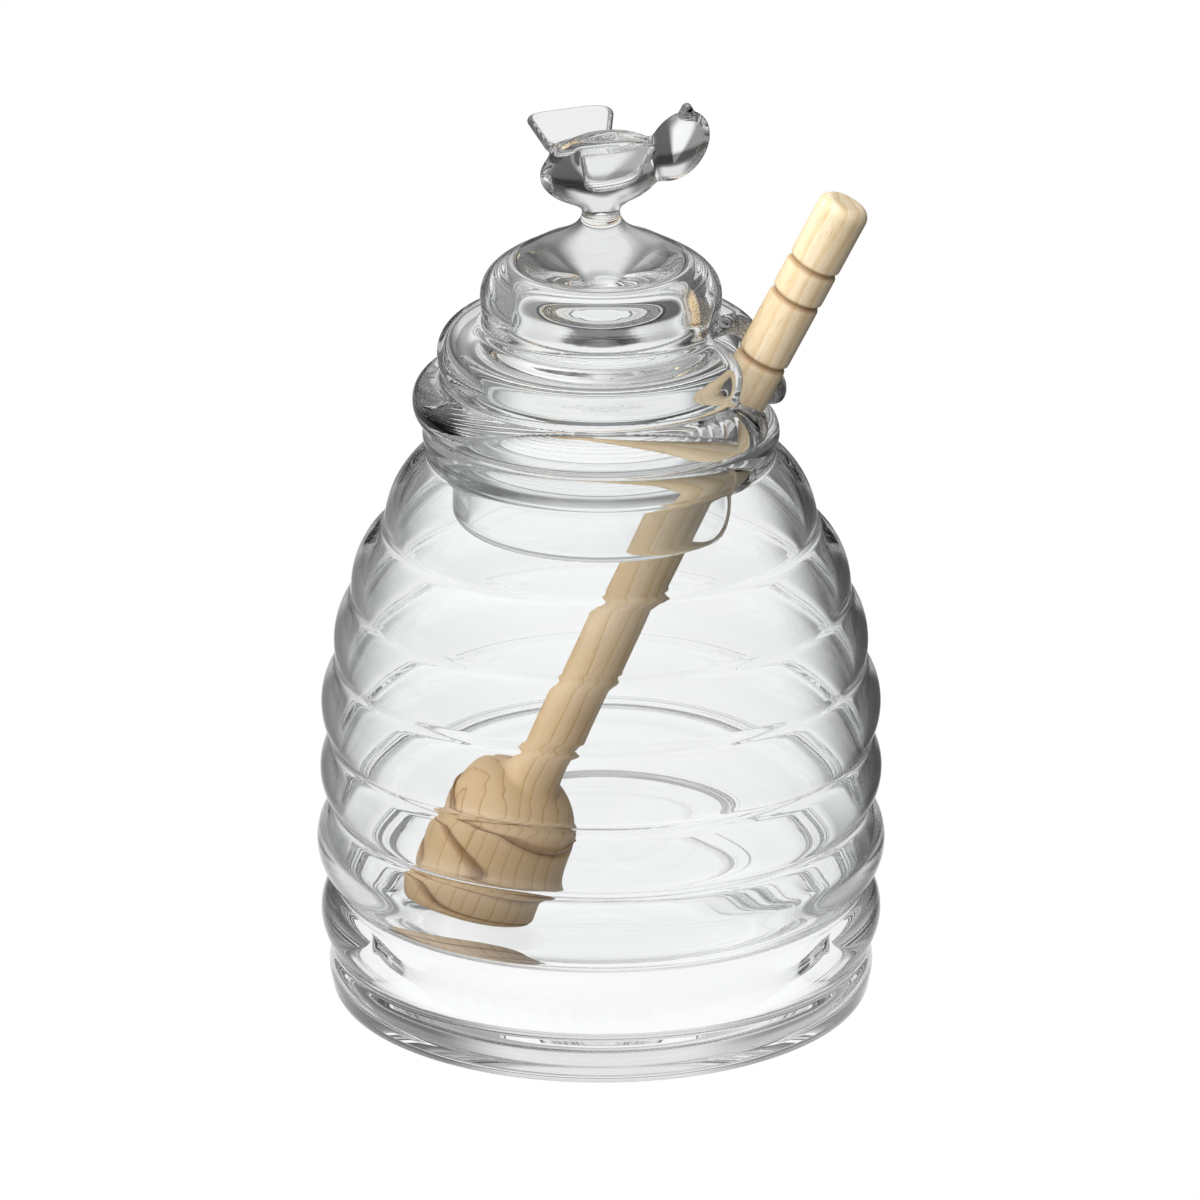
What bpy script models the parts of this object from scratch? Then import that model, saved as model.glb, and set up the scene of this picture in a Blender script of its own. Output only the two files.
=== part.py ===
"""Glass beehive honey pot with a bee on its lid and a turned wooden dipper.

The pot stands on z = 0 with its axis on the z axis, and the lid's notch opens towards +X.
"""

import math

import bmesh
import bpy
from mathutils import Matrix, Vector

mm = 0.001

# Pot: the ribs between its creases, each as (crease height, crease radius, bulge of the rib below it).
pot_creases = (
    (7.9 * mm, 38.5 * mm, 0.55 * mm),
    (17.7 * mm, 38.1 * mm, 2.15 * mm),
    (29.0 * mm, 38.3 * mm, 2.8 * mm),
    (39.2 * mm, 38.8 * mm, 1.95 * mm),
    (50.6 * mm, 38.0 * mm, 1.9 * mm),
    (60.9 * mm, 35.9 * mm, 1.3 * mm),
    (71.2 * mm, 31.2 * mm, 1.5 * mm),
    (82.5 * mm, 24.8 * mm, 1.6 * mm),
)
pot_wall = (1.8 * mm, 0.55 * mm)
pot_floor = 5.0 * mm
floor_flat_radius = 20.0 * mm
bowl_bend_radius = 32.0 * mm
bowl_bend_pull = 3.0 * mm
heel_height = 24.5 * mm
foot_turn = (39.0 * mm, 2.6 * mm)
foot_rest_radius = 36.8 * mm
rim_radius = 24.3 * mm
rim_height = 85.5 * mm
rim_half_width = 1.3 * mm
rim_half_height = 2.0 * mm
touch_gap = 0.3 * mm

# Lid: three tiers over a skirt that hangs inside the mouth, with a round bite for the dipper's stick.
lid_seat = rim_height + rim_half_height + touch_gap
tier_one = (17.32 * mm, 106.2 * mm)
tier_two = (23.49 * mm, 97.6 * mm)
tier_three = (27.04 * mm, 90.5 * mm)
upper_crease = (16.7 * mm, 102.2 * mm)
lower_crease = (22.7 * mm, 93.8 * mm)
neck_radius = 2.6 * mm
neck_height = 119.3 * mm
skirt_radius = 21.4 * mm
skirt_wall = 1.8 * mm
skirt_bottom = 73.0 * mm
dome_slope = (8.7 * mm, 114.2 * mm)
lid_wall = 3.2 * mm
hollow_top = 110.5 * mm
hollow_corner = 3.0 * mm
notch_radius = 7.2 * mm
notch_reach = 23.7 * mm
notch_azimuth = math.radians(-9.5)
notch_top = upper_crease[1] + 0.15 * mm
notch_cutter_bottom = 60.15 * mm

# Bee: a fat body with a ridge along its back, two flat wings, a round head that looks up and a little aside.
bee_heading = math.radians(8.5)
bee_place = (-0.15 * mm, 0.0, 124.65 * mm)
body_pitch = math.radians(2.0)
body_half = (8.6 * mm, 4.5 * mm, 4.95 * mm)
ridge_half = (8.0 * mm, 3.0 * mm, 4.4 * mm)
ridge_place = (1.0 * mm, 0.1 * mm, 1.85 * mm)
head_half = (3.85 * mm, 3.9 * mm, 5.6 * mm)
head_place = (11.35 * mm, 0.0, 3.05 * mm)
head_tilt = math.radians(36)
nose_place = (1.2 * mm, -1.2 * mm)
nose_length = 2.6 * mm
nose_radii = (2.4 * mm, 0.5 * mm)
overall_height = 135.0 * mm
# Each wing's corners: how far along the bee, how far across, how much the corner is rounded.
far_wing = (
    (-7.4 * mm, 0.6 * mm, 0.4 * mm),
    (1.6 * mm, 0.6 * mm, 0.4 * mm),
    (4.6 * mm, 16.3 * mm, 4.6 * mm),
    (-8.6 * mm, 16.3 * mm, 2.8 * mm),
)
near_wing = (
    (-3.4 * mm, -1.0 * mm, 0.8 * mm),
    (-4.7 * mm, -17.2 * mm, 2.6 * mm),
    (2.4 * mm, -17.2 * mm, 3.6 * mm),
    (8.2 * mm, -2.6 * mm, 1.6 * mm),
)
wing_pitch = math.radians(5.0)
wing_rise = 3.9 * mm
wing_thickness = 1.5 * mm

# Dipper: stands on the pot's floor and leans out through the notch.
dipper_length = 126.5 * mm
dipper_lean = math.radians(26.6)
dipper_azimuth = math.radians(-8.0)
dipper_foot = 21.3 * mm
stick_radius = 3.8 * mm
head_radius = 10.0 * mm
head_length = 25.5 * mm
groove_depth = 0.75 * mm
groove_half_width = 0.55 * mm
stick_grooves = (10.7 * mm, 16.3 * mm, 26.9 * mm)
head_grooves = (4.3 * mm, 9.3 * mm, 14.1 * mm, 19.0 * mm)


def bezier(a, b, c, d, steps):
    """Points of a cubic curve from a to d, without its first point."""
    points = []
    for i in range(1, steps + 1):
        t = i / steps
        s = 1 - t
        points.append(
            tuple(s**3 * p + 3 * s * s * t * q + 3 * s * t * t * u + t**3 * v for p, q, u, v in zip(a, b, c, d))
        )
    return points


def bulge(start, end, rise, steps):
    """Points of a circular arc from start down to end, standing out by rise, without its first point."""
    (r0, z0), (r1, z1) = start, end
    chord = math.hypot(r1 - r0, z1 - z0)
    radius = (chord * chord / 4 + rise * rise) / (2 * rise)
    half = math.asin(chord / 2 / radius)
    along = ((r1 - r0) / chord, (z1 - z0) / chord)
    out = (-along[1], along[0])
    centre = ((r0 + r1) / 2 - out[0] * (radius - rise), (z0 + z1) / 2 - out[1] * (radius - rise))
    points = []
    for i in range(1, steps + 1):
        angle = -half + 2 * half * i / steps
        points.append(
            tuple(centre[k] + radius * (out[k] * math.cos(angle) + along[k] * math.sin(angle)) for k in (0, 1))
        )
    return points


def corner(centre, radius_r, radius_z, from_degrees, to_degrees, steps):
    """Points of an elliptic arc in the profile plane, both ends included."""
    points = []
    for i in range(steps + 1):
        angle = math.radians(from_degrees + (to_degrees - from_degrees) * i / steps)
        points.append((centre[0] + radius_r * math.cos(angle), centre[1] + radius_z * math.sin(angle)))
    return points


def inset(points, distance):
    """The profile moved in by the thickness of its wall, along the normal at each of its inner points."""
    moved = []
    for before, here, after in zip(points, points[1:], points[2:]):
        run = math.hypot(after[0] - before[0], after[1] - before[1])
        out = (-(after[1] - before[1]) / run, (after[0] - before[0]) / run)
        moved.append((here[0] - out[0] * distance, here[1] - out[1] * distance))
    return moved


def new_material(name, colour, roughness, transmission):
    material = bpy.data.materials.new(name)
    material.use_nodes = True
    shader = material.node_tree.nodes["Principled BSDF"]
    shader.inputs["Base Color"].default_value = (*colour, 1)
    shader.inputs["Roughness"].default_value = roughness
    shader.inputs["Metallic"].default_value = 0
    shader.inputs["Transmission Weight"].default_value = transmission
    return material


def turned(name, profile, steps, collection):
    """An object whose profile, a run of (radius, height) points down its outer side, is turned round the z axis."""
    mesh = bpy.data.meshes.new(name)
    points = [(max(r, 0.0), 0.0, z) for r, z in profile]
    mesh.from_pydata(points, [(i, i + 1) for i in range(len(points) - 1)], [])
    piece = bpy.data.objects.new(name, mesh)
    collection.objects.link(piece)
    screw = piece.modifiers.new("Turn", "SCREW")
    screw.axis = "Z"
    screw.steps = steps
    screw.render_steps = steps
    screw.use_merge_vertices = True
    screw.merge_threshold = 0.00001
    screw.use_normal_calculate = False
    return piece


def made_solid(piece):
    """Puts the shape that the modifiers make into the object's own mesh."""
    bpy.context.view_layer.update()
    shape = piece.evaluated_get(bpy.context.evaluated_depsgraph_get())
    mesh = bpy.data.meshes.new_from_object(shape)
    piece.modifiers.clear()
    piece.data = mesh
    return piece


def cut(piece, cutter):
    modifier = piece.modifiers.new("Cut", "BOOLEAN")
    modifier.operation = "DIFFERENCE"
    modifier.solver = "EXACT"
    modifier.object = cutter


def moved_to(piece, collection):
    for other in list(piece.users_collection):
        other.objects.unlink(piece)
    collection.objects.link(piece)
    return piece


def finish(piece, material):
    piece.data.materials.clear()
    piece.data.materials.append(material)
    piece.data.shade_smooth()
    piece.data.set_sharp_from_angle(angle=math.radians(40))


def ribs(steep_steps, shallow_steps):
    """Down the outside of the pot from its highest crease to its foot, each rib a circular arc."""
    stops = [(r, z) for z, r, rise in reversed(pot_creases)]
    rises = [rise for z, r, rise in reversed(pot_creases)]
    points = [stops[0]]
    for start, end, rise in zip(stops, stops[1:], rises):
        points += bulge(start, end, rise, steep_steps if rise > 2 * mm else shallow_steps)
    return points + bulge(stops[-1], foot_turn, pot_creases[0][2], 3)


def pot_profile():
    """From the middle of the floor up the inside, over the rim, down the ribs and back under the foot.

    The inside is a round-bottomed bowl, and above it the outside moved in and down.
    """
    moved = [(r - pot_wall[0], z - pot_wall[1]) for r, z in reversed(ribs(4, 3))]
    inside = [p for p in moved if heel_height < p[1] < pot_creases[-1][0] - 2 * pot_wall[1]]
    heel = inside[0]
    inner = [(0.0, pot_floor), (floor_flat_radius, pot_floor)]
    inner += bezier(inner[-1], (bowl_bend_radius, pot_floor), (heel[0], heel[1] - bowl_bend_pull), heel, 7)
    inner += inside[1:]
    rim = corner((rim_radius, rim_height), rim_half_width, rim_half_height, 200, -40, 7)
    outer = ribs(6, 4)
    outer += bezier(
        foot_turn,
        (foot_turn[0] - 0.15 * mm, foot_turn[1] * 0.4),
        (foot_rest_radius + 1.5 * mm, 0.0),
        (foot_rest_radius, 0.0),
        4,
    )
    outer.append((foot_rest_radius / 2, 0.0))
    outer.append((0.0, 0.0))
    return inner + rim + outer


def tiers():
    """Down the outside of the lid from its neck to the edge that rests on the rim, and where each tier starts."""
    parts_of_line = [
        [(neck_radius, neck_height)],
        bezier((neck_radius, neck_height), (neck_radius, 116.5 * mm), (5.8 * mm, 115.5 * mm), dome_slope, 4),
        bezier(dome_slope, (13.5 * mm, 111.5 * mm), (tier_one[0], 110.1 * mm), tier_one, 5),
        bezier(tier_one, (tier_one[0], 104.6 * mm), (upper_crease[0] + 0.2 * mm, 103.2 * mm), upper_crease, 2),
        bezier(upper_crease, (20.0 * mm, 102.6 * mm), (tier_two[0], 100.9 * mm), tier_two, 5),
        bezier(tier_two, (tier_two[0], 96.0 * mm), (lower_crease[0] + 0.2 * mm, 94.8 * mm), lower_crease, 2),
        bezier(lower_crease, (24.6 * mm, 94.1 * mm), (tier_three[0], 93.0 * mm), tier_three, 4),
        bezier(tier_three, (tier_three[0], 89.2 * mm), (26.5 * mm, lid_seat), (25.2 * mm, lid_seat), 3),
    ]
    return [point for line in parts_of_line for point in line]


def lid_profile():
    """From the top of the neck down the tiers and the skirt, and up the inside to the middle of the dome."""
    outside = tiers()
    top = [(0.0, neck_height + 3 * mm), (neck_radius + 0.7 * mm, neck_height + 3 * mm)]
    lip_radius = skirt_wall / 2
    lip = corner((skirt_radius - lip_radius, skirt_bottom + lip_radius), lip_radius, lip_radius, 0, -180, 4)
    followed = outside[outside.index(tier_one) - 1:outside.index(lower_crease) + 2]
    inside = [(skirt_radius - skirt_wall, lid_seat)] + inset(followed, lid_wall)[::-1]
    wall_top = inside[-1]
    shoulder = (wall_top[0] - hollow_corner, hollow_top)
    inside += bezier(
        wall_top,
        (wall_top[0], hollow_top - hollow_corner * 0.45),
        (shoulder[0] + hollow_corner * 0.55, hollow_top),
        shoulder,
        4,
    )
    inside.append((0.0, hollow_top))
    return top + outside + [(skirt_radius, lid_seat)] + lip + inside


def dipper_profile():
    """Down the stick from its rounded end, over the grooves and round the head to the flat of its foot."""
    points = [(0.0, dipper_length)]
    points += corner((stick_radius - 1.5 * mm, dipper_length - 1.6 * mm), 1.5 * mm, 1.6 * mm, 90, 0, 3)
    for depth in stick_grooves:
        z = dipper_length - depth
        points += [
            (stick_radius, z + groove_half_width),
            (stick_radius - groove_depth, z),
            (stick_radius, z - groove_half_width),
        ]
    points.append((stick_radius, head_length + 2.5 * mm))
    points += bezier(
        points[-1],
        (stick_radius, head_length - 0.5 * mm),
        (stick_radius + 0.6 * mm, head_length - 0.4 * mm),
        (stick_radius + 1.6 * mm, head_length - 0.7 * mm),
        3,
    )
    widest = (head_radius - 0.25 * mm, head_length - 7.0 * mm)
    points += bezier(
        points[-1],
        (stick_radius + 4.6 * mm, head_length - 1.6 * mm),
        (widest[0] - 0.35 * mm, widest[1] + 2.6 * mm),
        widest,
        4,
    )
    for height in reversed(head_grooves):
        points += [
            (head_radius, height + groove_half_width),
            (head_radius - groove_depth, height),
            (head_radius, height - groove_half_width),
        ]
    points += bezier(points[-1], (head_radius, 1.2 * mm), (head_radius - 1.0 * mm, 0.0), (head_radius - 3.2 * mm, 0.0), 4)
    points.append((0.0, 0.0))
    return points


def ellipsoid(name, half, place, tilt, seam_turn, collection):
    """An egg shape, its mesh turned a little about its own axis so that no two of them share an edge's plane."""
    bpy.ops.mesh.primitive_uv_sphere_add(segments=16, ring_count=10, radius=1)
    piece = moved_to(bpy.context.object, collection)
    piece.name = name
    piece.data.transform(Matrix.Rotation(seam_turn, 4, "Z"))
    piece.data.transform(Matrix.LocRotScale(Vector(place), tilt, Vector(half)))
    return piece


def wing(name, corners, collection):
    """A flat wing with rounded corners, level with the bee's back."""
    outline = []
    for i, (x, y, rounding) in enumerate(corners):
        here = Vector((x, y))
        back = (Vector(corners[i - 1][:2]) - here).normalized()
        ahead = (Vector(corners[(i + 1) % len(corners)][:2]) - here).normalized()
        for k in range(5):
            t = k / 4
            a = here + back * rounding * (1 - t)
            b = here + ahead * rounding * t
            outline.append(a.lerp(b, t))
    curve = bpy.data.curves.new(name, "CURVE")
    curve.dimensions = "2D"
    curve.fill_mode = "BOTH"
    curve.extrude = wing_thickness / 2
    line = curve.splines.new("POLY")
    line.points.add(len(outline) - 1)
    for point, (x, y) in zip(line.points, outline):
        point.co = (x, y, 0, 1)
    line.use_cyclic_u = True
    outline_object = bpy.data.objects.new(name, curve)
    collection.objects.link(outline_object)
    bpy.context.view_layer.update()
    mesh = bpy.data.meshes.new_from_object(outline_object.evaluated_get(bpy.context.evaluated_depsgraph_get()))
    bpy.data.objects.remove(outline_object)
    welded = bmesh.new()
    welded.from_mesh(mesh)
    bmesh.ops.remove_doubles(welded, verts=welded.verts, dist=0.00001)
    bmesh.ops.recalc_face_normals(welded, faces=welded.faces)
    welded.to_mesh(mesh)
    welded.free()
    piece = bpy.data.objects.new(name, mesh)
    collection.objects.link(piece)
    return piece


for old in list(bpy.data.objects):
    bpy.data.objects.remove(old)

parts = bpy.data.collections.new("honey_pot_with_spoon")
cutters = bpy.data.collections.new("cutters")
bee_pieces = bpy.data.collections.new("bee_pieces")
for group in (parts, cutters, bee_pieces):
    bpy.context.scene.collection.children.link(group)

clear_glass = new_material("clear_glass", (0.97, 0.98, 0.98), 0.02, 1.0)
pale_wood = new_material("pale_wood", (0.74, 0.60, 0.42), 0.5, 0.0)

pot = turned("pot", pot_profile(), 48, parts)
made_solid(pot)
finish(pot, clear_glass)

lid = turned("lid", lid_profile(), 44, parts)
made_solid(lid)

bpy.ops.mesh.primitive_cylinder_add(vertices=24, radius=notch_radius, depth=notch_top - notch_cutter_bottom)
bite = moved_to(bpy.context.object, cutters)
bite.name = "notch_cutter"
bite.data.transform(Matrix.Translation((notch_reach, 0, (notch_top + notch_cutter_bottom) / 2)))
bite.rotation_euler.z = notch_azimuth
bite.hide_render = True
bite.display_type = "WIRE"
cut(lid, bite)
made_solid(lid)

ahead = Matrix.Rotation(bee_heading, 3, "Z")
bee_spot = Vector(bee_place)
level = ahead @ Matrix.Rotation(-body_pitch, 3, "Y")
ellipsoid("bee_body", body_half, bee_spot, level.to_quaternion(), math.radians(5), bee_pieces)
ridge_spot = bee_spot + level @ Vector(ridge_place)
ellipsoid("bee_ridge", ridge_half, ridge_spot, level.to_quaternion(), math.radians(9), bee_pieces)
head_spot = bee_spot + level @ Vector(head_place)
looking_up = (ahead @ Matrix.Rotation(head_tilt, 3, "Y")).to_quaternion()
ellipsoid("bee_head", head_half, head_spot, looking_up, math.radians(3), bee_pieces)
bpy.ops.mesh.primitive_cone_add(vertices=12, radius1=nose_radii[0], radius2=nose_radii[1], depth=nose_length)
nose = moved_to(bpy.context.object, bee_pieces)
nose.name = "bee_nose"
nose_spot = Vector((head_spot.x + nose_place[0], head_spot.y + nose_place[1], overall_height - nose_length / 2))
nose.data.transform(Matrix.Translation(nose_spot))
wing_level = (ahead @ Matrix.Rotation(-wing_pitch, 3, "Y")).to_4x4()
for name, corners in (("bee_far_wing", far_wing), ("bee_near_wing", near_wing)):
    plate = wing(name, corners, bee_pieces)
    plate.data.transform(Matrix.Translation(bee_spot + Vector((0, 0, wing_rise))) @ wing_level)

fuse = lid.modifiers.new("Fuse", "BOOLEAN")
fuse.operation = "UNION"
fuse.solver = "EXACT"
fuse.operand_type = "COLLECTION"
fuse.collection = bee_pieces
made_solid(lid)
for piece in list(bee_pieces.objects):
    bpy.data.objects.remove(piece)
bpy.data.collections.remove(bee_pieces)
finish(lid, clear_glass)

dipper = turned("dipper", dipper_profile(), 20, parts)
made_solid(dipper)
finish(dipper, pale_wood)
foot_lift = max(r * math.sin(dipper_lean) - z * math.cos(dipper_lean) for r, z in dipper_profile())
dipper.rotation_euler = (0, dipper_lean, dipper_azimuth)
dipper.location = (
    -dipper_foot * math.cos(dipper_azimuth),
    -dipper_foot * math.sin(dipper_azimuth),
    pot_floor + touch_gap + foot_lift,
)
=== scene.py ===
import math
import bmesh
import bpy
import numpy as np
from mathutils import Matrix, Vector


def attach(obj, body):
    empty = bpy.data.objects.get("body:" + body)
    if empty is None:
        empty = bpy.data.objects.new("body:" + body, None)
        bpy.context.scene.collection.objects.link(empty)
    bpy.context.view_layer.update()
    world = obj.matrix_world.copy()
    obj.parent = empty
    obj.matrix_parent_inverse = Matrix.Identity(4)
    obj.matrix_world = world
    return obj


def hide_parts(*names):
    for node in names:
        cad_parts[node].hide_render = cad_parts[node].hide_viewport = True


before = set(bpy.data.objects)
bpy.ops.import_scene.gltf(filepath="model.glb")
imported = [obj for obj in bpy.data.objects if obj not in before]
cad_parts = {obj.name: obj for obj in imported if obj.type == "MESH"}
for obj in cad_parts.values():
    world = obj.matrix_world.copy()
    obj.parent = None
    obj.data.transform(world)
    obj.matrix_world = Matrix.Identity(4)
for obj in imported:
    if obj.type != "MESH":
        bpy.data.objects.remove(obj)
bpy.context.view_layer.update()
mm = 0.001
weldGap = 0.001 * mm


# Small helpers for nodes and colours

def linear(hexColour):
    parts = [int(hexColour[i:i + 2], 16) / 255 for i in (1, 3, 5)]
    return tuple(c / 12.92 if c <= 0.04045 else ((c + 0.055) / 1.055) ** 2.4 for c in parts) + (1.0,)


def addNode(tree, kind, settings=None, values=None, links=None):
    node = tree.nodes.new(kind)
    for name, value in (settings or {}).items():
        setattr(node, name, value)
    for name, value in (values or {}).items():
        node.inputs[name].default_value = value
    for name, source in (links or {}).items():
        tree.links.new(source, node.inputs[name])
    return node


# The profile of a turned piece, as (radius, height) points

def sweepPoints(a, b, c, d, steps):  # along a cubic curve, without its first point
    points = []
    for i in range(1, steps + 1):
        t = i / steps
        s = 1 - t
        weights = (s**3, 3 * s * s * t, 3 * s * t * t, t**3)
        points.append(tuple(sum(w * p[k] for w, p in zip(weights, (a, b, c, d))) for k in (0, 1)))
    return points


def ribPoints(start, end, rise, steps):  # an arc that stands this far out of its chord
    (r0, z0), (r1, z1) = start, end
    chord = math.hypot(r1 - r0, z1 - z0)
    radius = (chord * chord / 4 + rise * rise) / (2 * rise)
    half = math.asin(chord / 2 / radius)
    along = ((r1 - r0) / chord, (z1 - z0) / chord)
    out = (-along[1], along[0])
    centre = ((r0 + r1) / 2 - out[0] * (radius - rise), (z0 + z1) / 2 - out[1] * (radius - rise))
    return [
        tuple(centre[k] + radius * (out[k] * math.cos(a) + along[k] * math.sin(a)) for k in (0, 1))
        for a in (-half + 2 * half * i / steps for i in range(1, steps + 1))
    ]


def ringPoints(centre, radiusR, radiusZ, fromDegrees, toDegrees, steps):  # part of an ellipse
    turn = [math.radians(fromDegrees + (toDegrees - fromDegrees) * i / steps) for i in range(steps + 1)]
    return [(centre[0] + radiusR * math.cos(a), centre[1] + radiusZ * math.sin(a)) for a in turn]


def evenPoints(points, spacing):  # the same line with its points evenly spaced
    line = np.array(points)
    run = np.r_[0, np.cumsum(np.hypot(*np.diff(line, axis=0).T))]
    keep = np.r_[True, np.diff(run) > 1e-9]
    line, run = line[keep], run[keep]
    at = np.linspace(0, run[-1], int(run[-1] / spacing) + 1)
    return np.column_stack([np.interp(at, run, line[:, k]) for k in (0, 1)])


def thinned(line, bend, longest):  # drops points where the line runs nearly straight
    kept = [line[0]]
    for here, ahead in zip(line[1:-1], line[2:]):
        back, on = here - kept[-1], ahead - here
        turn = abs(back[0] * on[1] - back[1] * on[0]) / np.linalg.norm(back) / np.linalg.norm(on)
        if turn > bend or np.linalg.norm(back) > longest:
            kept.append(here)
    return np.array(kept + [line[-1]])


def softened(points, width, spacing):  # rounds every corner off over this width, the ends stay
    line = evenPoints(points, spacing)
    reach = max(1, int(round(width / spacing / 2)))
    for turn in range(2):
        padded = np.vstack([2 * line[0] - line[reach:0:-1], line, 2 * line[-1] - line[-2:-reach - 2:-1]])
        weight = np.ones(2 * reach + 1) / (2 * reach + 1)
        line = np.column_stack([np.convolve(padded[:, k], weight, "valid") for k in (0, 1)])
    line[:, 0] = np.maximum(line[:, 0], 0)
    return line


# Geometry Nodes: turns a chain of points round the z axis

def turningTree():
    tree = bpy.data.node_groups.new("Turned on a lathe", "GeometryNodeTree")
    face = tree.interface
    face.new_socket("Geometry", in_out="INPUT", socket_type="NodeSocketGeometry")
    steps = face.new_socket("Steps round", in_out="INPUT", socket_type="NodeSocketInt")
    steps.default_value = 96
    face.new_socket("Finish", in_out="INPUT", socket_type="NodeSocketMaterial")
    face.new_socket("Geometry", in_out="OUTPUT", socket_type="NodeSocketGeometry")
    start = tree.nodes.new("NodeGroupInput")
    chain, stepsRound = start.outputs["Geometry"], start.outputs["Steps round"]
    count = addNode(
        tree, "GeometryNodeAttributeDomainSize", {"component": "MESH"}, links={"Geometry": chain},
    )
    columns = addNode(tree, "ShaderNodeMath", {"operation": "ADD"}, {1: 1.0}, {0: stepsRound})
    grid = addNode(
        tree, "GeometryNodeMeshGrid",
        links={"Vertices X": count.outputs["Point Count"], "Vertices Y": columns.outputs[0]},
    )
    index = addNode(tree, "GeometryNodeInputIndex").outputs[0]
    place = addNode(tree, "GeometryNodeInputPosition").outputs[0]
    divide, modulo, times = {"operation": "DIVIDE"}, {"operation": "MODULO"}, {"operation": "MULTIPLY"}
    rowShare = addNode(tree, "ShaderNodeMath", divide, links={0: index, 1: columns.outputs[0]})
    row = addNode(tree, "ShaderNodeMath", {"operation": "FLOOR"}, links={0: rowShare.outputs[0]})
    column = addNode(tree, "ShaderNodeMath", modulo, links={0: index, 1: columns.outputs[0]})
    share = addNode(tree, "ShaderNodeMath", divide, links={0: column.outputs[0], 1: stepsRound})
    angle = addNode(tree, "ShaderNodeMath", times, {1: 2 * math.pi}, {0: share.outputs[0]})
    sample = addNode(
        tree, "GeometryNodeSampleIndex", {"data_type": "FLOAT_VECTOR", "domain": "POINT"},
        links={"Geometry": chain, "Value": place, "Index": row.outputs[0]},
    )
    turned = addNode(
        tree, "ShaderNodeVectorRotate", {"rotation_type": "Z_AXIS"},
        links={"Vector": sample.outputs["Value"], "Angle": angle.outputs[0]},
    )
    moved = addNode(
        tree, "GeometryNodeSetPosition",
        links={"Geometry": grid.outputs["Mesh"], "Position": turned.outputs[0]},
    )
    merged = addNode(
        tree, "GeometryNodeMergeByDistance", values={"Distance": weldGap},
        links={"Geometry": moved.outputs[0]},
    )
    smooth = addNode(tree, "GeometryNodeSetShadeSmooth", links={"Geometry": merged.outputs[0]})
    real = addNode(tree, "GeometryNodeRealizeInstances", links={"Geometry": smooth.outputs[0]})
    finish = addNode(
        tree, "GeometryNodeSetMaterial",
        links={"Geometry": real.outputs[0], "Material": start.outputs["Finish"]},
    )
    end = tree.nodes.new("NodeGroupOutput")
    tree.links.new(finish.outputs[0], end.inputs[0])
    return tree


def turnedPiece(name, line, stepsRound, material):
    chain = bpy.data.meshes.new(name + "Chain")
    chain.from_pydata([(r, 0, z) for r, z in line], [(i, i + 1) for i in range(len(line) - 1)], [])
    piece = bpy.data.objects.new(name, chain)
    bpy.context.scene.collection.objects.link(piece)
    lathe = piece.modifiers.new("Lathe", "NODES")
    lathe.node_group = turning
    for item in turning.interface.items_tree:
        if item.in_out == "INPUT" and item.name == "Steps round":
            lathe[item.identifier] = stepsRound
        if item.in_out == "INPUT" and item.name == "Finish":
            lathe[item.identifier] = material
    bpy.context.view_layer.update()
    mesh = bpy.data.meshes.new_from_object(piece.evaluated_get(bpy.context.evaluated_depsgraph_get()))
    mesh.name = name
    piece.modifiers.clear()
    piece.data = mesh
    outward(mesh)
    if material.name not in [m.name for m in mesh.materials if m]:
        mesh.materials.append(material)
    return piece


def outward(mesh):  # closes the seam and the poles, and turns every face outwards
    shape = bmesh.new()
    shape.from_mesh(mesh)
    bmesh.ops.remove_doubles(shape, verts=shape.verts, dist=weldGap / 2)
    bmesh.ops.recalc_face_normals(shape, faces=shape.faces)
    shape.to_mesh(mesh)
    shape.free()


# Materials

# the edge colour is painted shade: grey mixed into the glass where it is seen edge on
glassLook = {"clear": "#FDFEFE", "paintedEdgeShade": "#9A9C9C", "edgeFrom": 0.60, "edgeTo": 0.78}
woodLook = {
    # the tree's middle lies beside the dipper, so its rings curve
    "pith": (-15.0, -9.0, 60.0), "alongPith": 0.035,
    "ringWidth": 2.1, "ringWave": 4.0,
    "earlyWood": "#E6D5B8", "lateWood": "#D8BE95", "late": (0.35, 0.97),
    "grain": {  # how often it changes per mm across and along, detail, and the part of the noise that shows
        "wave": ((0.22, 0.22, 0.03), 2, 0.0, 1.0),
        "fibre": ((3.4, 3.4, 0.16), 3, 0.4, 0.7),
        "pores": ((6.0, 6.0, 0.5), 1, 0.62, 0.72),  # real beech pores are finer than can show
        "blotch": ((0.12, 0.12, 0.05), 2, 0.3, 0.7),
    },
    "fibre": ("#D3B88E", 0.25), "blotch": ("#E3C89E", 0.3), "pores": ("#A98A61", 0.4),
    "heartWood": "#D1AD7E", "heart": (14.0, 95.0, 0.75),  # warmer wood towards the head
    "ringLine": ("#A9804E", 0.75), "ringEdge": (0.86, 0.96),
    "groove": ("#86592E", 0.8),  # darker in the grooves
    "roughness": (0.46, 0.12), "relief": 0.35, "reliefDepth": 0.08, "fibreRelief": 0.4,
}


def clearGlassMaterial(s):  # pressed and fire-polished soda-lime glass: clear, with painted shade that greys it where it is seen edge on
    material = bpy.data.materials.new("clearPressedGlass")
    material.use_nodes = True
    tree = material.node_tree
    shader = tree.nodes["Principled BSDF"]
    shader.inputs["Roughness"].default_value = 0.0
    shader.inputs["IOR"].default_value = 1.5
    shader.inputs["Transmission Weight"].default_value = 1.0
    edge = addNode(tree, "ShaderNodeLayerWeight", values={"Blend": 0.5})
    steep = addNode(
        tree, "ShaderNodeMapRange", {"interpolation_type": "SMOOTHSTEP"},
        {"From Min": s["edgeFrom"], "From Max": s["edgeTo"]}, {"Value": edge.outputs["Facing"]},
    )
    # painted shade: grey mixed into the glass's colour where it is seen edge on
    edgeShade = addNode(
        tree, "ShaderNodeMix", {"data_type": "RGBA"}, {6: linear(s["clear"]), 7: linear(s["paintedEdgeShade"])},
        {0: steep.outputs[0]},
    )
    tree.links.new(edgeShade.outputs[2], shader.inputs["Base Color"])
    return material


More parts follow.
